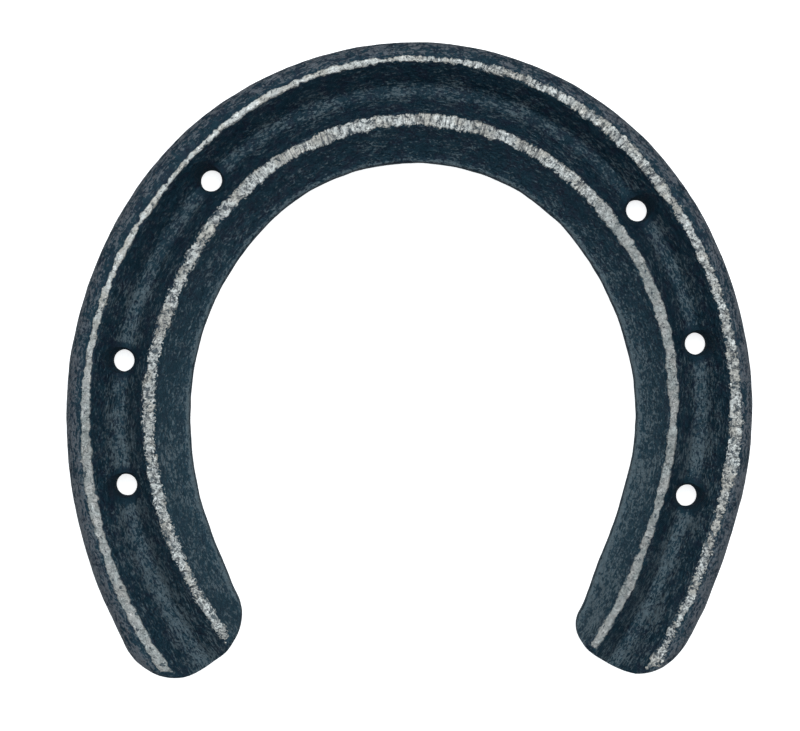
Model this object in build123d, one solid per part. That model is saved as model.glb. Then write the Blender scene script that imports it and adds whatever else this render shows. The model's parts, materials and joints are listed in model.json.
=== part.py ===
"""A forged horseshoe: one bent steel bar, fullered from heel to heel and punched for six nails.

Frame, in millimetres: the hoof face lies flat at Z = 0 and the ground side faces +Z. +Y points to the toe,
so both heels point towards -Y. The origin is under the middle of the shoe's outline.
"""

from build123d import *
from math import cos, radians, sin, tan
import os

# --- Driving dimensions: the bar and how it is bent --------------------------------------------------

BAR_WIDTH = 22.8
BAR_HEIGHT = 10.0  # hoof face to ground rims

# The bar's centreline is a chain of tangent arcs from the toe to each heel: (radius, degrees turned).
TOE_TILT = -2.0  # direction of the bar at the toe, in degrees from +X
TOE_RADIUS = 50.6
LEFT_ARCS = [(TOE_RADIUS, 46.6), (62.2, 41.1), (75.5, 42.4)]
RIGHT_ARCS = [(TOE_RADIUS, 50.0), (63.3, 48.6), (90.2, 25.4)]

LEFT_HEEL_ROUNDS = (7.5, 9.8)  # inner and outer corner of the left heel, seen from above
RIGHT_HEEL_ROUNDS = (8.0, 10.3)
SHOULDER_RADIUS = 3.2  # rounds the outer side into the outer rim
HOOF_BREAK = 0.7  # rounds the edge of the hoof face

# --- Driving dimensions: the section, measured outwards from the centreline --------------------------

OUTER_RIM = 6.9  # crease side of the outer rim
CREASE_FLOOR = (0.6, 2.8)  # inner and outer limit of the crease's floor
CREASE_DEPTH = 5.5
CREASE_ROUND = 0.9  # rounds the floor into the crease's walls
INNER_RIM = (-5.4, -3.2)  # inner and outer limit of the inner rim
INNER_EDGE_HEIGHT = 4.5  # the inner slope comes down to this height
RIM_BREAK = 0.4  # rounds the rims' edges
INNER_BREAK = 1.0  # rounds the foot of the inner slope

# --- Driving dimensions: the nail holes, as (distance from the toe along the bar, outwards from it) --

LEFT_NAILS = [(43.3, 2.0), (80.9, 1.9), (104.2, 1.7)]  # toe, quarter and heel nail
RIGHT_NAILS = [(46.7, 1.8), (73.9, 2.0), (102.5, 1.2)]
NAIL_RADIUS = 2.1
DISH_RADIUS = 3.1  # the punched dish round each hole's mouth
DISH_START = 3.3  # height at which the dish opens out of the hole
DISH_SLOPE = 45.0  # degrees from the hole's axis

CLEAR = 3.0  # how far the cutting shapes reach past what they cut
OVERRUN = 6.0  # degrees by which a cut runs on past each heel
TOLERANCE = 0.01  # how close an edge has to be to a height to count as lying at it

CREASE_BOTTOM = BAR_HEIGHT - CREASE_DEPTH
UP = Vector(0, 0, 1)


# --- The centreline ----------------------------------------------------------------------------------


def arc_chain(heading, arcs, turn):
    """The start, middle and end of tangent arcs from the toe, with turn +1 to the left and -1 to the right."""
    chain = []
    point = Vector(0, 0, 0)
    for radius, angle in arcs:
        side = Vector(-sin(radians(heading)), cos(radians(heading))) * turn
        centre = point + side * radius
        middle = centre + (point - centre).rotate(Axis.Z, turn * angle / 2)
        end = centre + (point - centre).rotate(Axis.Z, turn * angle)
        chain.append((point, middle, end))
        point = end
        heading += turn * angle
    return chain


def centreline(overrun=0.0):
    """The bar's path from the right heel round the toe to the left heel."""
    left, right = list(LEFT_ARCS), list(RIGHT_ARCS)
    left[-1] = (left[-1][0], left[-1][1] + overrun)
    right[-1] = (right[-1][0], right[-1][1] + overrun)
    from_toe = arc_chain(180 + TOE_TILT, left, 1)
    to_toe = [arc[::-1] for arc in reversed(arc_chain(TOE_TILT, right, -1))]
    return Wire([ThreePointArc(*arc) for arc in to_toe + from_toe])


def section_plane(path, fraction):
    """A plane across the path, with X pointing out of the shoe and Y pointing up."""
    tangent = path.tangent_at(fraction)
    return Plane(path.position_at(fraction), x_dir=tangent.cross(UP), z_dir=-tangent)


def along(path, section):
    """The section swept from the path's start to its end."""
    return sweep(sections=section_plane(path, 0) * section, path=path)


# --- The bar, the cuts that shape it, and the punched holes ------------------------------------------


def line_past(start, end, beyond):
    """The point that lies beyond end by that height, on the line from start."""
    share = beyond / abs(end[1] - start[1])
    return (end[0] + (end[0] - start[0]) * share, end[1] + (end[1] - start[1]) * share)


def heel_edge(solid, path, fraction, side):
    """The upright edge at one end of the path, on the outer (+1) or inner (-1) side of the bar."""
    corner = section_plane(path, fraction).from_local_coords((side * BAR_WIDTH / 2, BAR_HEIGHT / 2))
    return solid.edges().filter_by(Axis.Z).sort_by_distance(corner)[0]


def bent_bar(path):
    """The plain bar with rounded heels, a rounded shoulder and a softened hoof edge."""
    section = Rectangle(BAR_WIDTH, BAR_HEIGHT, align=(Align.CENTER, Align.MIN)).face()
    bar = along(path, section)
    for fraction, rounds in ((0, RIGHT_HEEL_ROUNDS), (1, LEFT_HEEL_ROUNDS)):
        for side, radius in zip((-1, 1), rounds):
            bar = fillet(heel_edge(bar, path, fraction, side), radius)
    bar = fillet(bar.faces().sort_by(Axis.Z)[-1].edges(), SHOULDER_RADIUS)
    return fillet(bar.faces().sort_by(Axis.Z)[0].edges(), HOOF_BREAK)


def crease_section():
    """The fuller's V, with a narrow floor, open above the rims."""
    floor_in, floor_out = ((v, CREASE_BOTTOM) for v in CREASE_FLOOR)
    rim_in = line_past(floor_in, (INNER_RIM[1], BAR_HEIGHT), CLEAR)
    rim_out = line_past(floor_out, (OUTER_RIM, BAR_HEIGHT), CLEAR)
    walls = FilletPolyline(rim_in, floor_in, floor_out, rim_out, radius=CREASE_ROUND)
    return make_face(walls + Line(rim_out, rim_in)).face()


def slope_section():
    """What is taken off between the inner rim and the inner edge."""
    rim = (INNER_RIM[0], BAR_HEIGHT)
    edge = (-BAR_WIDTH / 2, INNER_EDGE_HEIGHT)
    above, beyond = line_past(edge, rim, CLEAR), line_past(rim, edge, CLEAR)
    return make_face(Polyline(above, beyond, (beyond[0], above[1]), close=True)).face()


def edges_at(solid, path, height, nearest, farthest):
    """The edges at that height whose middles are between two distances from the bar's centreline."""
    line = Pos(0, 0, height) * path
    level = [edge for edge in solid.edges() if abs(edge.center().Z - height) < TOLERANCE]
    return [edge for edge in level if nearest < line.distance_to(edge.position_at(0.5)) < farthest]


def nail_place(path, side, station, outwards):
    """Where a nail hole stands on the hoof face: side -1 for the left branch and +1 for the right."""
    right_length = sum(radius * radians(angle) for radius, angle in RIGHT_ARCS)
    plane = section_plane(path, (right_length - side * station) / path.length)
    return Pos(plane.from_local_coords((outwards, 0)))


def nail_punch():
    """A nail hole with the dish at its mouth, which also bites into the crease's walls."""
    seat = (Align.CENTER, Align.CENTER, Align.MIN)
    slope_height = (DISH_RADIUS - NAIL_RADIUS) / tan(radians(DISH_SLOPE))
    hole = Pos(0, 0, -CLEAR) * Cylinder(NAIL_RADIUS, BAR_HEIGHT, align=seat)
    dish = Pos(0, 0, DISH_START) * Cone(NAIL_RADIUS, DISH_RADIUS, slope_height, align=seat)
    mouth = Pos(0, 0, DISH_START + slope_height) * Cylinder(DISH_RADIUS, BAR_HEIGHT, align=seat)
    return hole + dish + mouth


def forged_shoe():
    path = centreline()
    cut_path = centreline(OVERRUN)
    shoe = bent_bar(path) - along(cut_path, crease_section()) - along(cut_path, slope_section())
    slope_foot = edges_at(shoe, path, INNER_EDGE_HEIGHT, -INNER_RIM[0], BAR_WIDTH)
    shoe = fillet(slope_foot, INNER_BREAK)
    rims = edges_at(shoe, path, BAR_HEIGHT, 0, OUTER_RIM + RIM_BREAK)
    shoe = fillet(rims, RIM_BREAK)
    punch = nail_punch()
    for side, nails in ((-1, LEFT_NAILS), (1, RIGHT_NAILS)):
        for station, outwards in nails:
            shoe -= nail_place(path, side, station, outwards) * punch
    middle = shoe.bounding_box().center()
    return Pos(-middle.X, -middle.Y, 0) * shoe.solid()


os.makedirs("parts", exist_ok=True)
shoe = forged_shoe()
shoe.label = "forged_shoe"
export_step(shoe, "parts/forged_shoe.step")
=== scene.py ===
"""A worn forged horseshoe, seen from its ground side. Metres, in the frame of the CAD part."""

import json
import math

import bmesh
import bpy
import numpy as np
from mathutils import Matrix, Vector, noise


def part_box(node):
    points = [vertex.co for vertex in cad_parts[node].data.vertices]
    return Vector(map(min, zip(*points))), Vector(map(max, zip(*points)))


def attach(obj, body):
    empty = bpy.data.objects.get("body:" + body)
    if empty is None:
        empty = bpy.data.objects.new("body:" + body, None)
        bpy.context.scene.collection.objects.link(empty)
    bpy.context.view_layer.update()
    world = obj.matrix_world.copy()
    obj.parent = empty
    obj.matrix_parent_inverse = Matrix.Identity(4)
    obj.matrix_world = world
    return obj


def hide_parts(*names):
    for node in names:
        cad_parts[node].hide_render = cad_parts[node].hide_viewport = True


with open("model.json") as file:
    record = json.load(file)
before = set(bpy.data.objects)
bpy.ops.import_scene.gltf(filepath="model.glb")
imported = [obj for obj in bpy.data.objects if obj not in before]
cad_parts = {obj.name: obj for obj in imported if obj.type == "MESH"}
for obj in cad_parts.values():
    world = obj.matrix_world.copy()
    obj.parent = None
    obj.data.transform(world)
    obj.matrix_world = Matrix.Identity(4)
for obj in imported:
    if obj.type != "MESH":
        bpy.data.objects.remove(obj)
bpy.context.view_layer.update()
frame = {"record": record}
mounts = {mount["name"]: mount for mount in frame["record"]["mounts"]}

MM = 0.001

# --- The bar's shape, in millimetres -------------------------------------------------------------------

# Tangent arcs from the toe to each heel: (radius, degrees turned).
TOE_TILT = -2.0
LEFT_ARCS = [(50.6, 46.6), (62.2, 41.1), (75.5, 42.4)]
RIGHT_ARCS = [(50.6, 50.0), (63.3, 48.6), (90.2, 25.3)]

HEIGHT = 10.0
CREASE_BOTTOM = 4.5
CREASE_FLOOR_WIDTH = 2.2
INNER_EDGE_HEIGHT = 4.5
SLOPE_SAG = 0.35  # how far the inner slope is hollowed below a straight line
SLOPE_LOWEST = 4.4  # the hollow goes no lower than this
SHOULDER_RADIUS = 3.2
HOOF_BREAK = 0.7
HEEL_SHOULDER = 1.5  # the shoulder's radius at the heels' ends
HEEL_SHOULDER_REACH = (4.0, 12.0)  # it lasts to the first distance from a heel and is gone at the second
LEFT_HEEL_ROUNDS = (8.0, 11.0)  # inner and outer corner, seen from above
RIGHT_HEEL_ROUNDS = (4.8, 11.0)
INNER_LIP = 0.7  # the narrow level strip beside the inner edge
LIP_ROUND = 0.5
DISH_START = 3.3  # the height at which a nail hole opens out
DISH_EASE = [(-0.3, 0.0), (0.1, 0.08)]  # how it starts: (height from DISH_START, widening of the radius)
DISH_RADIUS = 2.9  # its radius at DISH_TOP
DISH_TOP = 6.0

# How the bar and its rims vary on the way round. Each line is one place: its distance from the toe along
# the bar, less than 0 on the left branch, then the bar's inner and outer edge, the inner rim's bare strip,
# the outer rim's bare strip and the middle of the crease's floor, all outwards from the centreline.
INNER_EDGE, OUTER_EDGE, INNER_RIM_IN, INNER_RIM_OUT, OUTER_RIM_IN, OUTER_RIM_OUT, FLOOR_MIDDLE = range(1, 8)
STATIONS = [
    (-141, -10.4, 11.7, -6.4, -4.6, 6.3, 8.2, 1.3),
    (-133, -10.8, 11.7, -6.4, -4.6, 6.4, 8.2, 1.3),
    (-126, -11.4, 11.6, -6.2, -4.2, 6.5, 8.4, 1.3),
    (-108, -11.5, 11.5, -5.9, -3.6, 6.7, 8.4, 1.5),
    (-89, -11.5, 11.5, -5.5, -3.2, 6.6, 8.4, 1.6),
    (-68, -11.5, 11.4, -5.7, -3.6, 6.8, 8.0, 1.6),
    (-46, -11.5, 11.6, -5.5, -3.3, 6.6, 7.3, 1.7),
    (-23, -11.4, 11.1, -5.3, -3.1, 6.9, 7.7, 2.0),
    (0, -11.3, 11.1, -5.0, -2.7, 7.2, 8.0, 2.2),
    (23, -11.1, 11.1, -4.9, -3.0, 6.7, 8.4, 2.2),
    (46, -11.1, 11.2, -5.0, -2.9, 6.4, 8.1, 1.9),
    (68, -11.0, 11.0, -4.9, -2.9, 6.6, 8.2, 1.8),
    (89, -10.5, 10.9, -5.1, -3.5, 6.3, 8.6, 1.5),
    (114, -10.6, 10.7, -5.3, -3.7, 6.1, 7.6, 1.2),
    (122, -10.4, 10.9, -5.2, -3.4, 6.3, 7.8, 1.3),
    (129, -9.4, 10.8, -5.1, -3.4, 6.3, 7.8, 1.3),
    (138, -8.5, 10.8, -5.0, -3.4, 6.4, 7.8, 1.4),
]

BARE_MARGIN = 1.2  # the least distance from a bare strip to the outline
BUMP_SHARE = 2.2  # how far a bare strip's edge moves for each millimetre that a bump is high
RIM_FALL = 0.3  # how far the ground side has dropped RIM_FALL_REACH outside the outer rim's bare strip
RIM_FALL_REACH = 2.0
CROWN = 0.16  # how far the rims stood above the height they are now worn to
WORN_RELIEF = 0.04  # the share of that height which is left as unevenness on the worn rims
HALF_WIDTH = 11.4

# Over how many millimetres of height one face of the section is blended into the next.
WALLS_BLEND, FLOOR_BLEND, SLOPE_BLEND, RIM_BLEND, SHOULDER_BLEND = 1.2, 1.0, 0.6, 0.5, 0.4

# How the bar's edges wander: (depth, length of the waves).
WANDER = [(0.14, 14.0), (0.06, 3.0)]

# Hammering and scale on the ground side: (depth, size of the bumps, seed, octaves).
BUMPS = [(0.10, 9.0, 1, 3), (0.14, 2.4, 2, 3), (0.14, 1.1, 3, 2)]

# --- The mesh's density --------------------------------------------------------------------------------

RING_STEP = 0.40
HEEL_RINGS = 9
TOP_COLUMNS = 106
SHOULDER_COLUMNS = 9
HOOF_COLUMNS = 10
BREAK_COLUMNS = 4
SIDE_ROWS = 6
HOLE_SIDES = 48

# Where the columns start to crowd together near a heel, measured outwards from the centreline.
INNER_HINGE = -1.8
OUTER_HINGE = -0.8


def smooth_min(a, b, reach):
    """The lower of two heights, blended where they are closer than reach."""
    share = np.maximum(reach - np.abs(a - b), 0) / reach
    return np.minimum(a, b) - share * share * reach / 4


def smooth_max(a, b, reach):
    return -smooth_min(-a, -b, reach)


def fading(distance, full, none):
    """1 up to the distance called full, falling evenly to 0 at the distance called none."""
    return np.clip((none - distance) / (none - full), 0, 1)


SEED_SHIFT = Vector((17.3, 5.1, 9.7))
PERSISTENCE, LACUNARITY = 0.9, 2.1


def rough(places, size, seed, octaves=3):
    """Smooth noise of about -1 to 1 at an array of places in millimetres, with bumps of that size."""
    shift = SEED_SHIFT * seed
    values = []
    for spot in places.reshape(-1, 3) / size:
        spot = Vector(spot) + shift
        values.append(noise.fractal(spot, PERSISTENCE, LACUNARITY, octaves, noise_basis="PERLIN_ORIGINAL"))
    return np.array(values).reshape(places.shape[:-1])


# --- The centreline ------------------------------------------------------------------------------------


class Arc:
    """One arc of the centreline: s counts along the bar from the toe, less than 0 on the left branch."""

    def __init__(self, start, heading, radius, angle, turn, s):
        side = np.array([-math.sin(heading), math.cos(heading)]) * turn
        self.centre = start + side * radius
        self.radius = radius
        self.angle = angle
        self.turn = turn
        self.s = s
        self.first = math.atan2(*(start - self.centre)[::-1])
        self.end = self.centre + self.spoke(angle) * radius

    def spoke(self, angle):
        """The direction from the arc's centre, which is also outwards from the shoe."""
        turned = self.first + self.turn * angle
        return np.stack([np.cos(turned), np.sin(turned)], axis=-1)


def arc_chain(arcs, heading, turn):
    chain = []
    point, s = np.zeros(2), 0.0
    for radius, degrees in arcs:
        chain.append(Arc(point, heading, radius, math.radians(degrees), turn, s))
        point = chain[-1].end
        heading += turn * chain[-1].angle
        s += radius * chain[-1].angle
    return chain, s


LEFT, LEFT_LENGTH = arc_chain(LEFT_ARCS, math.radians(180 + TOE_TILT), 1)
RIGHT, RIGHT_LENGTH = arc_chain(RIGHT_ARCS, math.radians(TOE_TILT), -1)


def place(s, v):
    """Where the points at distance s along the bar and v outwards from its centreline are, from the toe."""
    spot = np.zeros(s.shape + (2,))
    for chain, way in ((LEFT, -s), (RIGHT, s)):
        for arc in chain:
            here = (way >= arc.s) & ((way <= arc.s + arc.radius * arc.angle + 1e-6) | (arc is chain[-1]))
            reach = (arc.radius + v[here])[:, None]
            spot[here] = arc.centre + arc.spoke((way[here] - arc.s) / arc.radius) * reach
    return spot


def bar_place(points):
    """The distance along the bar and outwards from its centreline, of points measured from the toe."""
    best = np.full(len(points), np.inf)
    s, v = np.zeros(len(points)), np.zeros(len(points))
    for chain, sign in ((LEFT, -1), (RIGHT, 1)):
        for arc in chain:
            away = points - arc.centre
            turned = arc.turn * (np.arctan2(away[:, 1], away[:, 0]) - arc.first)
            turned = (turned + math.pi) % (2 * math.pi) - math.pi
            clipped = np.clip(turned, 0, arc.angle)
            off = np.linalg.norm(arc.centre + arc.spoke(clipped) * arc.radius - points, axis=1)
            nearer = off < best
            best[nearer] = off[nearer]
            s[nearer] = sign * (arc.s + arc.radius * clipped[nearer])
            v[nearer] = (np.linalg.norm(away, axis=1) - arc.radius)[nearer]
    return s, v


# The nail holes' middles and radii, in millimetres.
bores = [mount for mount in mounts.values() if mount["kind"] == "bore"]
nail_holes = [(bore["pos_m"][0] / MM, bore["pos_m"][1] / MM, bore["dims"]["r_mm"]) for bore in bores]

# The hoof face's mount lies at the toe, under the middle of the CAD part's inner rim.
MOUNT_OUTWARDS = -4.3
outwards_at_toe = RIGHT[0].spoke(0.0)
toe = np.array(mounts["hoof_face"]["pos_m"][:2]) / MM - outwards_at_toe * MOUNT_OUTWARDS


# --- The forged surface --------------------------------------------------------------------------------


def at_stations(s, column):
    """A smooth curve through one column of the table above."""
    keys = np.array([row[0] for row in STATIONS], float)
    values = np.array([row[column] for row in STATIONS], float)
    slopes = np.gradient(values, keys)
    k = np.clip(np.searchsorted(keys, s) - 1, 0, len(keys) - 2)
    span = keys[k + 1] - keys[k]
    t = np.clip((s - keys[k]) / span, 0, 1)
    rise = values[k + 1] - values[k]
    a, b = slopes[k] * span - rise, rise - slopes[k + 1] * span
    return values[k] + t * rise + t * (1 - t) * (a * (1 - t) + b * t)


def wandering_edge(s, column, seed):
    """One edge of the bar before its heels are rounded, wandering as hand forging does."""
    places = np.stack([s, s * 0, s * 0], axis=-1)
    waves = [depth * rough(places, length, seed + k) for k, (depth, length) in enumerate(WANDER)]
    return at_stations(s, column) + sum(waves)


edge_places = np.arange(-LEFT_LENGTH, RIGHT_LENGTH, 0.5)
inner_edge = wandering_edge(edge_places, INNER_EDGE, 11)
outer_edge = wandering_edge(edge_places, OUTER_EDGE, 13)


def bar_edges(s):
    """The inner and outer edge of the bar before its heels are rounded."""
    return np.interp(s, edge_places, inner_edge), np.interp(s, edge_places, outer_edge)


def heel_depth(s):
    """How far a place along the bar is from the nearer heel's end."""
    return np.where(s < 0, LEFT_LENGTH + s, RIGHT_LENGTH - s)


def heel_rounds(s):
    """The radius of the nearer heel's inner and outer corner, seen from above."""
    pairs = zip(LEFT_HEEL_ROUNDS, RIGHT_HEEL_ROUNDS)
    return [np.where(s < 0, left, right) for left, right in pairs]


def corner_loss(depth, radius):
    """How much a rounded heel corner takes off the bar's half width."""
    inside = np.clip(radius - depth, 0, radius)
    return radius - np.sqrt(radius * radius - inside * inside)


def outline(s):
    """The inner and outer edge of the bar, heels rounded, as distances outwards from the centreline."""
    depth = heel_depth(s)
    inner, outer = bar_edges(s)
    inner_round, outer_round = heel_rounds(s)
    return inner + corner_loss(depth, inner_round), outer - corner_loss(depth, outer_round)


def edge_distance(s, v):
    """How far a place on the bar is from the outline."""
    depth = heel_depth(s)
    inner, outer = bar_edges(s)
    near = np.minimum(np.minimum(v - inner, outer - v), depth)
    inner_round, outer_round = heel_rounds(s)
    for radius, reach in ((outer_round, outer - v), (inner_round, v - inner)):
        corner = radius - np.hypot(np.maximum(radius - depth, 0), np.maximum(radius - reach, 0))
        both = (depth < radius) & (reach < radius)
        near = np.where(both, np.minimum(near, corner), near)
    return np.maximum(near, 0)


def rounded_drop(near, radius):
    """How far a rounding of that radius lies below the flat, that near to the edge."""
    short = np.clip(radius - near, 0, radius)
    return radius - np.sqrt(radius * radius - short * short)


def slope_between(v, low, high):
    """The height at v of a straight wall from one (v, z) point to another."""
    return low[1] + (v - low[0]) * (high[1] - low[1]) / (high[0] - low[0])


def forged_height(s, v):
    """The ground side as forged, before wear: two ridges beside the crease, and the inner slope."""
    floor = at_stations(s, FLOOR_MIDDLE)
    inner_foot = (floor - CREASE_FLOOR_WIDTH / 2, CREASE_BOTTOM)
    outer_foot = (floor + CREASE_FLOOR_WIDTH / 2, CREASE_BOTTOM)
    inner_wall = slope_between(v, inner_foot, (at_stations(s, INNER_RIM_OUT), HEIGHT))
    outer_wall = slope_between(v, outer_foot, (at_stations(s, OUTER_RIM_IN), HEIGHT))
    crease = smooth_max(smooth_max(inner_wall, outer_wall, WALLS_BLEND), CREASE_BOTTOM, FLOOR_BLEND)

    inner = at_stations(s, INNER_EDGE)
    rim = at_stations(s, INNER_RIM_IN)
    slope_foot = inner + INNER_LIP
    share = np.clip((v - slope_foot) / (rim - slope_foot), 0, 1)
    slope = slope_between(v, (slope_foot, INNER_EDGE_HEIGHT), (rim, HEIGHT))
    slope = smooth_max(slope - 4 * SLOPE_SAG * share * (1 - share), SLOPE_LOWEST, SLOPE_BLEND)

    crest = HEIGHT + CROWN
    top = smooth_min(smooth_min(crease, slope, RIM_BLEND), crest, RIM_BLEND)
    at_heel = fading(heel_depth(s), *HEEL_SHOULDER_REACH)
    radius = SHOULDER_RADIUS + (HEEL_SHOULDER - SHOULDER_RADIUS) * at_heel
    past_rim = np.clip((v - at_stations(s, OUTER_RIM_OUT)) / RIM_FALL_REACH, 0, 1)
    shoulder = crest - rounded_drop(edge_distance(s, v), radius) - RIM_FALL * past_rim
    top = smooth_min(top, shoulder, SHOULDER_BLEND)
    lip = INNER_EDGE_HEIGHT - rounded_drop(v - inner, LIP_ROUND)
    return np.where(v < slope_foot, np.minimum(top, lip), top)


def forged_bumps(spots):
    """How far hammering and scale raise or lower the forged surface."""
    places = np.concatenate([spots, np.zeros(spots.shape[:-1] + (1,))], axis=-1)
    return sum(depth * rough(places, size, seed, octaves) for depth, size, seed, octaves in BUMPS)


def ground_side(s, v, spots):
    """The height of the ground side, its two ridges worn down to one level."""
    forged = forged_height(s, v) + forged_bumps(spots)
    return np.where(forged > HEIGHT, HEIGHT + WORN_RELIEF * (forged - HEIGHT), forged)


def bareness(s, v, spots):
    """How far a place is inside a rim's bare strip, in millimetres, and less than 0 outside both strips."""
    strips = ((INNER_RIM_IN, INNER_RIM_OUT), (OUTER_RIM_IN, OUTER_RIM_OUT))
    depths = [np.minimum(v - at_stations(s, low), at_stations(s, high) - v) for low, high in strips]
    inside = np.minimum(np.maximum(*depths), edge_distance(s, v) - BARE_MARGIN)
    return inside + BUMP_SHARE * forged_bumps(spots)


# --- The mesh ------------------------------------------------------------------------------------------


def ring_places():
    """Distances along the bar, crowded towards both heels where the ends round over."""
    turn = np.linspace(0, math.pi / 2, HEEL_RINGS + 1)[:-1]
    near_heel = SHOULDER_RADIUS * (1 - np.cos(turn))
    start, end = -LEFT_LENGTH + SHOULDER_RADIUS, RIGHT_LENGTH - SHOULDER_RADIUS
    middle = np.linspace(start, end, int((end - start) / RING_STEP))
    return np.concatenate([-LEFT_LENGTH + near_heel, middle, RIGHT_LENGTH - near_heel[::-1]])


def crowded(count, radius, edge_count):
    """Places from -1 to 1 across the bar, crowded over that radius at the outer edge."""
    turn = np.linspace(0, math.pi / 2, edge_count + 1)[:-1]
    shoulder = 1 - radius / HALF_WIDTH * (1 - np.cos(turn))
    plain = np.linspace(-1, 1 - radius / HALF_WIDTH, count - edge_count)
    return np.concatenate([plain, shoulder[::-1]])


def across(s, u):
    """Distance outwards for a column at u. Near a heel the columns crowd together beside the crease."""
    inner, outer = outline(s)
    full_inner, full_outer = bar_edges(s)
    v = np.where(u < 0, -u * full_inner, u * full_outer)
    low = INNER_HINGE + (v - INNER_HINGE) * (inner - INNER_HINGE) / (full_inner - INNER_HINGE)
    high = OUTER_HINGE + (v - OUTER_HINGE) * (outer - OUTER_HINGE) / (full_outer - OUTER_HINGE)
    return np.where(v < INNER_HINGE, low, np.where(v > OUTER_HINGE, high, v))


def top_points(s_row):
    s, u = np.meshgrid(s_row, crowded(TOP_COLUMNS, SHOULDER_RADIUS, SHOULDER_COLUMNS), indexing="ij")
    v = across(s, u)
    spots = place(s, v) + toe
    return np.dstack([spots, ground_side(s, v, spots)])


def hoof_points(s_row):
    """The hoof face, from the outer edge to the inner edge, with its edges broken."""
    outer_half = crowded(HOOF_COLUMNS, HOOF_BREAK, BREAK_COLUMNS)
    u_row = np.unique(np.concatenate([outer_half, -outer_half]))[::-1]
    s, u = np.meshgrid(s_row, u_row, indexing="ij")
    v = across(s, u)
    spots = place(s, v) + toe
    return np.dstack([spots, rounded_drop(edge_distance(s, v), HOOF_BREAK)])


# Dents in the bar's sides: (depth, size of the dents, seed). They fade out towards the heels' ends.
DENTS = [(0.10, 4.0, 7), (0.05, 1.3, 8)]
DENT_FADE = 3.0


def side_points(s_row, side, upper, lower):
    """Rows between an edge of the top and the same edge of the hoof face, dented a little."""
    inner, outer = outline(s_row)
    v = outer if side > 0 else inner
    rows = []
    for share in np.linspace(0, 1, SIDE_ROWS + 2)[1:-1]:
        z = upper[:, 2] + (lower[:, 2] - upper[:, 2]) * share
        flat = np.column_stack([upper[:, :2], z])
        dent = sum(depth * rough(flat, size, seed) for depth, size, seed in DENTS)
        fade = min(1.0, 4 * share, 4 * (1 - share)) * np.clip(heel_depth(s_row) / DENT_FADE, 0, 1)
        rows.append(np.column_stack([place(s_row, v + side * dent * fade) + toe, z]))
    return np.stack(rows, axis=1)


def split_large_faces(mesh, face_outwards=False):
    """Cuts the faces with more than four corners into triangles."""
    work = bmesh.new()
    work.from_mesh(mesh)
    bmesh.ops.triangulate(work, faces=[face for face in work.faces if len(face.verts) > 4])
    if face_outwards:
        bmesh.ops.recalc_face_normals(work, faces=work.faces)
    work.to_mesh(mesh)
    work.free()


def shoe_mesh():
    """The bar as one closed tube of rings, from the left heel to the right heel."""
    s_row = ring_places()
    top, hoof = top_points(s_row), hoof_points(s_row)
    outer_side = side_points(s_row, 1, top[:, -1], hoof[:, 0])
    inner_side = side_points(s_row, -1, top[:, 0], hoof[:, -1])[:, ::-1]
    rings = np.concatenate([top, outer_side, hoof, inner_side], axis=1)
    count, size = rings.shape[:2]
    index = np.arange(count * size).reshape(count, size)
    beside = np.roll(index, -1, axis=1)
    quads = np.stack([index[:-1], index[1:], beside[1:], beside[:-1]], axis=-1).reshape(-1, 4)
    faces = quads.tolist() + [index[0].tolist(), index[-1, ::-1].tolist()]
    mesh = bpy.data.meshes.new("forged_bar")
    mesh.from_pydata((rings.reshape(-1, 3) * MM).tolist(), [], faces)
    split_large_faces(mesh, face_outwards=True)
    return mesh


PUNCH_OVERRUN = 2.0


def punch_mesh(x, y, radius):
    """The punch that makes one nail hole and the dish round its mouth, as a turned shape."""
    flare = (DISH_RADIUS - radius) / (DISH_TOP - DISH_START)
    top = HEIGHT + PUNCH_OVERRUN
    profile = [
        (radius, -PUNCH_OVERRUN),
        *((radius + widening, DISH_START + rise) for rise, widening in DISH_EASE),
        (DISH_RADIUS + flare * (top - DISH_TOP), top),
    ]
    shape = bmesh.new()
    rings = []
    for reach, z in profile:
        ring = []
        for k in range(HOLE_SIDES):
            turn = math.tau * k / HOLE_SIDES
            corner = (x + reach * math.cos(turn), y + reach * math.sin(turn), z)
            ring.append(shape.verts.new([value * MM for value in corner]))
        rings.append(ring)
    for lower, upper in zip(rings[:-1], rings[1:]):
        for k in range(HOLE_SIDES):
            shape.faces.new((lower[k - 1], lower[k], upper[k], upper[k - 1]))
    shape.faces.new(rings[0][::-1])
    shape.faces.new(rings[-1])
    bmesh.ops.recalc_face_normals(shape, faces=shape.faces)
    mesh = bpy.data.meshes.new("punch")
    shape.to_mesh(mesh)
    shape.free()
    return mesh


def baked(obj, name):
    """The object's mesh with its modifiers applied."""
    graph = bpy.context.evaluated_depsgraph_get()
    mesh = bpy.data.meshes.new_from_object(obj.evaluated_get(graph))
    mesh.name = name
    return mesh


def punched(mesh):
    """The bar's mesh with all the nail holes cut through it."""
    bar = bpy.data.objects.new("bar", mesh)
    bpy.context.collection.objects.link(bar)
    punches = []
    for x, y, radius in nail_holes:
        punch = bpy.data.objects.new("punch", punch_mesh(x, y, radius))
        bpy.context.collection.objects.link(punch)
        cut = bar.modifiers.new("hole", "BOOLEAN")
        cut.operation = "DIFFERENCE"
        cut.solver = "MANIFOLD"
        cut.object = punch
        punches.append(punch)
    result = baked(bar, "forged_shoe_skin")
    for used in punches + [bar]:
        bpy.data.objects.remove(used)
    return result


def hole_distance(points):
    """The distance from each point to the middle of the nearest nail hole, seen from above."""
    return np.min([np.hypot(points[:, 0] - x, points[:, 1] - y) for x, y, _ in nail_holes], axis=0)


BARE_DROP = 0.6  # no bare steel further below the rims' tops
NOT_BARE = -2.0

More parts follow.
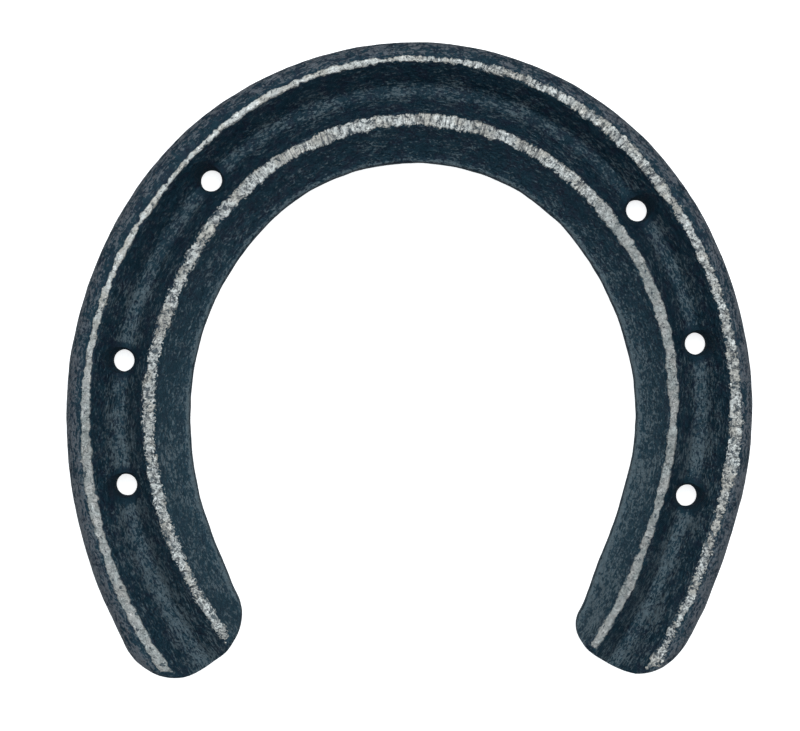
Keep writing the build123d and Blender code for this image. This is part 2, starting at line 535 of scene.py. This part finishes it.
# The distances at which each kind of wear, painted light and painted shade begins to fade and at which it
# ends.
# Painted highlight: the inner lip is given more pale specks, fading over these distances.
LIP_HIGHLIGHT_FADE = (0.4 * INNER_LIP, 1.4 * INNER_LIP)  # from the inner edge
# Painted light: the inner slope's foot is given more pale specks, fading over these distances.
FOOT_LIGHT_FADE = (2.0, 4.5)  # from the inner edge
# Painted light: the crease's floor is given more pale specks, fading over these distances.
FLOOR_LIGHT_FADE = (0.5 * CREASE_FLOOR_WIDTH, 1.5 * CREASE_FLOOR_WIDTH)  # from the middle of the crease's floor
BAND_FADE = (2.4, 3.2)  # from the outer edge
BAND_EDGE_FADE = (0.4, 1.2)  # from the outer edge, where the band is half as strong again
SIDE_FADE = (5.0, 7.5)  # the heights at which the band is gone and full on the bar's outer side
# Painted shade, with more roughness, in the dish round each nail hole: it fades over these distances from the
# hole's middle and stops above the height below.
SEAT_SHADE_FADE = (3.0, 3.9)  # from a nail hole's middle
SEAT_SHADE_TOP = 7.0


def add_wear_and_light_marks(mesh):
    """Stores, on each vertex, its place along and across the bar, how much of each kind of wear it has and
    where light or shade is painted.

    "bare" is in millimetres inside a rim's bare strip. The others are 0 away from their mark: "lip" and
    the inner slope's foot lie at the inner edge, "floor" along the crease, "band" beside the outer edge and
    the mark round the nail holes. The lip carries a painted highlight, the foot and the floor painted light,
    the mark round the nail holes painted shade, and the band the scale's own rubbed tone.
    """
    points = np.array([vertex.co[:] for vertex in mesh.vertices]) / MM
    height = points[:, 2]
    s, v = bar_place(points[:, :2] - toe)
    inner_edge_v, outer_edge_v = bar_edges(s)
    from_inner, from_outer = v - inner_edge_v, outer_edge_v - v
    from_floor = np.abs(v - at_stations(s, FLOOR_MIDDLE))
    on_ground_side = height > INNER_EDGE_HEIGHT - LIP_ROUND
    near_outer = fading(from_outer, *BAND_FADE) + 0.5 * fading(from_outer, *BAND_EDGE_FADE)
    wear_and_light_marks = {
        "bare": np.where(height > HEIGHT - BARE_DROP, bareness(s, v, points[:, :2]), NOT_BARE),
        # Painted highlight along the inner lip.
        "lip": on_ground_side * fading(from_inner, *LIP_HIGHLIGHT_FADE),
        # Painted light at the inner slope's foot.
        "foot": on_ground_side * fading(from_inner, *FOOT_LIGHT_FADE),
        # Painted light along the crease's floor.
        "floor": on_ground_side * fading(from_floor, *FLOOR_LIGHT_FADE),
        "band": near_outer * (1 - fading(height, *SIDE_FADE)),
        # Painted shade in the dish round the nail holes.
        "seat": (height < SEAT_SHADE_TOP) * fading(hole_distance(points), *SEAT_SHADE_FADE),
    }
    for name, values in wear_and_light_marks.items():
        mesh.attributes.new(name, "FLOAT", "POINT").data.foreach_set("value", values)
    along_bar = mesh.attributes.new("bar", "FLOAT_VECTOR", "POINT")
    along_bar.data.foreach_set("vector", np.column_stack([s, v, height]).ravel())


SHARP_ANGLE = math.radians(50)


def make_shoe():
    mesh = punched(shoe_mesh())
    split_large_faces(mesh)
    add_wear_and_light_marks(mesh)
    mesh.polygons.foreach_set("use_smooth", [True] * len(mesh.polygons))
    mesh.set_sharp_from_angle(angle=SHARP_ANGLE)
    shoe = bpy.data.objects.new("shoe_body", mesh)
    bpy.context.collection.objects.link(shoe)
    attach(shoe, "root")
    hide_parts("forged_shoe")
    mesh.materials.clear()
    mesh.materials.append(forged_finish())


# --- The finish ----------------------------------------------------------------------------------------


class Nodes:
    """Short ways to add shader nodes to one material."""

    def __init__(self, material):
        material.use_nodes = True
        self.tree = material.node_tree
        self.tree.nodes.clear()

    def add(self, kind, settings=None, **inputs):
        made = self.tree.nodes.new(kind)
        for name, value in (settings or {}).items():
            setattr(made, name, value)
        self.set(made, **inputs)
        return made

    def set(self, node, **inputs):
        for name, value in inputs.items():
            self.feed(node.inputs[name.replace("_", " ")], value)

    def feed(self, socket, value):
        if isinstance(value, bpy.types.NodeSocket):
            self.tree.links.new(value, socket)
        else:
            socket.default_value = value

    def math(self, operation, *values):
        made = self.tree.nodes.new("ShaderNodeMath")
        made.operation = operation
        for socket, value in zip(made.inputs, values):
            self.feed(socket, value)
        return made.outputs[0]

    def ramp(self, value, low, high, start=0.0, end=1.0):
        """Goes smoothly from start to end as value goes from low to high."""
        made = self.tree.nodes.new("ShaderNodeMapRange")
        made.interpolation_type = "SMOOTHSTEP"
        for socket, number in zip(made.inputs, (value, low, high, start, end)):
            self.feed(socket, number)
        return made.outputs[0]

    def noise(self, places, size, detail=3.0, roughness=0.55, distortion=0.0):
        """Noise with bumps of that size, in the unit of the places, from 0 to 1."""
        made = self.add("ShaderNodeTexNoise", Vector=places, Scale=1 / size)
        self.set(made, Detail=detail, Roughness=roughness, Distortion=distortion)
        return made.outputs["Fac"]

    def times(self, first, second):
        return self.math("MULTIPLY", first, second)

    def swing(self, value, reach):
        """A 0 to 1 value turned into one from minus half that reach to plus half of it."""
        return self.times(self.math("SUBTRACT", value, 0.5), reach)

    def total(self, *values):
        result = values[0]
        for value in values[1:]:
            result = self.math("ADD", result, value)
        return result

    def stretch(self, places, x, y, z):
        made = self.add("ShaderNodeVectorMath", {"operation": "MULTIPLY"})
        self.feed(made.inputs[0], places)
        self.feed(made.inputs[1], (x, y, z))
        return made.outputs[0]

    def mix(self, share, first, second):
        made = self.tree.nodes.new("ShaderNodeMix")
        made.data_type = "RGBA"
        self.feed(made.inputs["Factor"], share)
        colours = [socket for socket in made.inputs if socket.type == "RGBA"]
        self.feed(colours[0], first)
        self.feed(colours[1], second)
        return next(socket for socket in made.outputs if socket.type == "RGBA")

    def finish(self, shader):
        """Makes the shader the material's surface."""
        output = self.add("ShaderNodeOutputMaterial")
        self.tree.links.new(shader.outputs["BSDF"], output.inputs["Surface"])


# The finish's colours, linear.
SCALE_TEAL = (0.001, 0.010, 0.020, 1)
SCALE_PURPLE = (0.006, 0.008, 0.019, 1)
SCALE_BLUE = (0.003, 0.018, 0.030, 1)
# Painted light: a paler scale laid on the inner slope away from the toe.
SCALE_PAINTED_LIGHT = (0.014, 0.034, 0.048, 1)
SCALE_SHEEN = (0.45, 0.8, 1.0, 1)
RUBBED_BLUE = (0.080, 0.104, 0.118, 1)
RUBBED_GREY = (0.096, 0.100, 0.112, 1)
STEEL_DARK = (0.15, 0.16, 0.17, 1)
STEEL_COOL = (0.82, 0.84, 0.82, 1)
STEEL_WARM = (0.66, 0.64, 0.59, 1)
EVEN_COOL = (0.30, 0.33, 0.33, 1)
EVEN_WARM = (0.41, 0.41, 0.40, 1)


class Pattern:
    """The places, noises, kinds of wear and painted light and shade that the finish is mixed from. Places are
    in millimetres.
    """

    def __init__(self, nodes):
        for name in ("bare", "lip", "seat", "floor", "foot", "band"):
            attribute = nodes.add("ShaderNodeAttribute", {"attribute_name": name})
            setattr(self, name, attribute.outputs["Fac"])
        bar = nodes.add("ShaderNodeAttribute", {"attribute_name": "bar"}).outputs["Vector"]
        split = nodes.add("ShaderNodeSeparateXYZ")
        nodes.feed(split.inputs[0], bar)
        self.along, self.outwards = split.outputs[0], split.outputs[1]
        self.from_toe = nodes.math("ABSOLUTE", self.along)

        place = nodes.stretch(nodes.add("ShaderNodeTexCoord").outputs["Object"], 1 / MM, 1 / MM, 1 / MM)
        self.fine = nodes.noise(place, 0.5, 3, 0.6)
        self.grit = nodes.noise(place, 1.3, 4, 0.65, 0.8)
        self.pits = nodes.noise(place, 1.0, 3, 0.65, 0.5)
        self.tint = nodes.noise(place, 2.2, 2)
        self.blotch = nodes.noise(place, 5.0, 3)
        # Strokes across the rims, and streaks along the bar.
        self.hatch = nodes.noise(nodes.stretch(bar, 1.9, 0.35, 0.0), 1.0, 3, 0.6, 0.8)
        self.drawn = nodes.noise(nodes.stretch(bar, 0.7, 2.0, 1.6), 1.0, 3, 0.65, 1.2)

        # The clean arc is the outer rim left of the toe. The strokes come in stretches, mostly near the toe.
        self.clean_arc = nodes.times(nodes.ramp(self.outwards, 2.0, 5.0), nodes.ramp(self.along, 12.0, -12.0))
        near_toe = nodes.ramp(self.from_toe, 35.0, 75.0, 1.0, 0.1)
        stretches = nodes.noise(nodes.stretch(bar, 0.12, 0.12, 0.0), 1.0, 2)
        hatched = nodes.times(near_toe, nodes.ramp(stretches, 0.42, 0.56, 0.2, 1.0))
        self.hatched = nodes.times(hatched, nodes.math("SUBTRACT", 1.0, self.clean_arc))

        # The left outer and right inner rim are rubbed smoothest, and the other two keep the most pits.
        crossed = nodes.times(self.along, nodes.ramp(self.outwards, -4.0, 7.5, -1.0, 0.55))
        self.smoothed = nodes.ramp(crossed, -32.0, -52.0)
        self.pitted = nodes.ramp(crossed, 30.0, 50.0)


def bare_share(nodes, at):
    """How bare the steel is: the rims' strips, with ragged edges and with scale left in the pits."""
    evened = nodes.math("MAXIMUM", at.smoothed, nodes.times(at.clean_arc, 0.8))
    across_strip = nodes.times(nodes.swing(at.hatch, 1.1), at.hatched)
    mottle = nodes.total(nodes.swing(at.fine, 0.9), nodes.swing(at.grit, 0.9))
    mottle = nodes.times(mottle, nodes.total(nodes.times(evened, -0.6), at.pitted, 1.0))
    widened = nodes.times(at.clean_arc, nodes.ramp(at.from_toe, 50.0, 80.0, 0.15, 0.0))
    ragged = nodes.total(at.bare, across_strip, mottle, widened)
    pitting = nodes.total(nodes.times(evened, -0.03), nodes.times(at.pitted, 0.03))
    pit = nodes.ramp(nodes.total(at.pits, pitting), 0.56, 0.62)
    return nodes.times(nodes.ramp(ragged, -0.10, 0.16), nodes.math("SUBTRACT", 1.0, nodes.times(pit, 0.85)))


def scale_colour(nodes, at):
    """Dark blue-black scale, in places teal or purple, with paler specks that are rubbed greyer near the
    outer edge. Where the specks gather is partly the scale's own tone and partly painted light and shade, and
    the inner slope is painted paler away from the toe.
    """
    # More or fewer pale specks: partly the scale's own tone, in blotches and near the outer edge, partly
    # painted light and shade.
    specks_and_painted_light = nodes.total(
        # Painted shade: fewer pale specks at the toe, more towards the heels.
        nodes.ramp(at.from_toe, 30.0, 120.0, -0.01, 0.03),
        # Painted light: more pale specks on the crease's floor.
        nodes.times(at.floor, nodes.ramp(at.from_toe, 30.0, 100.0, 0.055, 0.065)),
        # Painted light: more pale specks at the inner slope's foot, most on the right branch.
        nodes.times(at.foot, nodes.ramp(at.along, 10.0, 90.0, 0.01, 0.06)),
        nodes.times(at.band, 0.07),
        # Painted highlight: more pale specks along the inner lip.
        nodes.times(at.lip, 0.12),
        nodes.swing(at.blotch, 0.25),
        # Painted shade: fewer pale specks in the dish round each nail hole.
        nodes.times(at.seat, -0.15),
    )
    speckle = nodes.total(nodes.times(at.fine, 0.35), nodes.times(at.drawn, 0.65), specks_and_painted_light)
    colour = nodes.mix(nodes.ramp(at.tint, 0.42, 0.62), SCALE_TEAL, SCALE_PURPLE)
    colour = nodes.mix(nodes.ramp(at.grit, 0.45, 0.66), colour, SCALE_BLUE)
    # Painted light: the inner slope turns paler away from the toe, most towards the inner edge.
    slope_painted_light = nodes.ramp(at.outwards, -4.5, -6.5, 0.1, 0.6)
    colour = nodes.mix(nodes.times(slope_painted_light, nodes.ramp(at.from_toe, 30.0, 100.0)), colour, SCALE_PAINTED_LIGHT)
    rubbed = nodes.mix(at.band, RUBBED_BLUE, RUBBED_GREY)
    return nodes.mix(nodes.ramp(speckle, 0.54, 0.64), colour, rubbed)


def steel_colour(nodes, at):
    """Bright steel, with dark strokes near the toe, dark grit elsewhere and an even grey where smoothed."""
    worn = nodes.total(nodes.times(at.grit, 0.5), nodes.times(at.fine, 0.5))
    shade = nodes.mix(nodes.times(at.hatched, 0.7), worn, at.hatch)
    shade = nodes.total(shade, nodes.times(at.clean_arc, 0.08))
    bright = nodes.mix(nodes.ramp(at.blotch, 0.42, 0.60), STEEL_COOL, STEEL_WARM)
    colour = nodes.mix(nodes.ramp(shade, 0.38, 0.58), STEEL_DARK, bright)
    even = nodes.mix(nodes.ramp(at.tint, 0.40, 0.62), EVEN_COOL, EVEN_WARM)
    return nodes.mix(nodes.times(at.smoothed, 0.75), colour, even)


def forged_finish():
    """Blue-black forge scale, rubbed to bare bright steel where the two rims stood proud."""
    material = bpy.data.materials.new("worn_forged_steel")
    nodes = Nodes(material)
    at = Pattern(nodes)
    bare = bare_share(nodes, at)
    colour = nodes.mix(bare, scale_colour(nodes, at), steel_colour(nodes, at))
    roughness = nodes.total(nodes.ramp(at.grit, 0.35, 0.65, 0.34, 0.54), nodes.times(at.seat, 0.3))
    relief = nodes.total(
        nodes.times(at.fine, 0.25),
        nodes.times(at.grit, 0.60),
        nodes.times(at.drawn, 0.20),
        nodes.times(nodes.times(at.hatch, bare), 0.12),
    )
    bump = nodes.add("ShaderNodeBump", Strength=1.0, Distance=MM, Height=relief).outputs["Normal"]
    shader = nodes.add("ShaderNodeBsdfPrincipled", Base_Color=colour, Metallic=bare, Roughness=roughness)
    nodes.set(shader, Normal=bump, Specular_Tint=SCALE_SHEEN)
    nodes.finish(shader)
    return material


# --- The studio ----------------------------------------------------------------------------------------

FLOOR_SIZE = 3.0
FLOOR_GAP = 0.0001  # keeps the floor from lying in the same plane as the hoof face
SOFT_BOX_SIZE = 1.2
SOFT_BOX_PLACE = (0.08, 0.45, 1.0)
SOFT_BOX_WATTS = 9
CAMERA_HEIGHT = 0.45
VIEW_WIDTH = 0.152
VIEW_CENTRE = (-0.0020, -0.0012)  # the middle of the picture, from the middle of the shoe
SENSOR = 36.0


def make_floor():
    mesh = bpy.data.meshes.new("floor")
    half = FLOOR_SIZE / 2
    corners = [(x, y, -FLOOR_GAP) for x, y in ((-half, -half), (half, -half), (half, half), (-half, half))]
    mesh.from_pydata(corners, [], [(0, 1, 2, 3)])
    material = bpy.data.materials.new("studio_floor")
    nodes = Nodes(material)
    shader = nodes.add("ShaderNodeBsdfPrincipled", Base_Color=(0.9, 0.9, 0.9, 1), Roughness=0.9)
    nodes.set(shader, Emission_Color=(1, 1, 1, 1), Emission_Strength=0.7)
    nodes.finish(shader)
    mesh.materials.append(material)
    floor = bpy.data.objects.new("floor", mesh)
    bpy.context.collection.objects.link(floor)
    floor.visible_glossy = False  # the dark metal is to mirror the studio's dim horizon, not the white floor


def make_light():
    """A square soft box above and behind the toe that faces the shoe."""
    lamp = bpy.data.lights.new("overhead", "AREA")
    lamp.shape = "SQUARE"
    lamp.size = SOFT_BOX_SIZE
    lamp.energy = SOFT_BOX_WATTS
    light = bpy.data.objects.new("overhead", lamp)
    light.location = SOFT_BOX_PLACE
    light.rotation_euler = (-Vector(SOFT_BOX_PLACE)).to_track_quat("-Z", "Y").to_euler()
    bpy.context.collection.objects.link(light)


def make_world():
    """Even air that dims towards the horizon, as a room does round a lit table."""
    world = bpy.data.worlds.new("studio")
    world.use_nodes = True
    tree = world.node_tree
    direction = tree.nodes.new("ShaderNodeTexCoord")
    height = tree.nodes.new("ShaderNodeSeparateXYZ")
    tree.links.new(direction.outputs["Generated"], height.inputs[0])
    strength = tree.nodes.new("ShaderNodeMapRange")
    for name, value in (("From Min", 0.1), ("From Max", 0.8), ("To Min", 0.12), ("To Max", 0.8)):
        strength.inputs[name].default_value = value
    tree.links.new(height.outputs["Z"], strength.inputs["Value"])
    background = tree.nodes["Background"]
    background.inputs["Color"].default_value = (0.86, 0.95, 1.0, 1)
    tree.links.new(strength.outputs["Result"], background.inputs["Strength"])
    bpy.context.scene.world = world


def make_studio():
    make_floor()
    make_light()
    make_world()
    bpy.context.scene.view_settings.view_transform = "Standard"


def make_camera():
    low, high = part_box("forged_shoe")
    middle = (Vector(low) + Vector(high)) / 2
    data = bpy.data.cameras.new("camera")
    data.sensor_width = SENSOR
    data.lens = SENSOR * CAMERA_HEIGHT / VIEW_WIDTH
    camera = bpy.data.objects.new("camera", data)
    camera.location = (middle.x + VIEW_CENTRE[0], middle.y + VIEW_CENTRE[1], middle.z + CAMERA_HEIGHT)
    bpy.context.collection.objects.link(camera)
    bpy.context.scene.camera = camera


make_shoe()
make_studio()
make_camera()
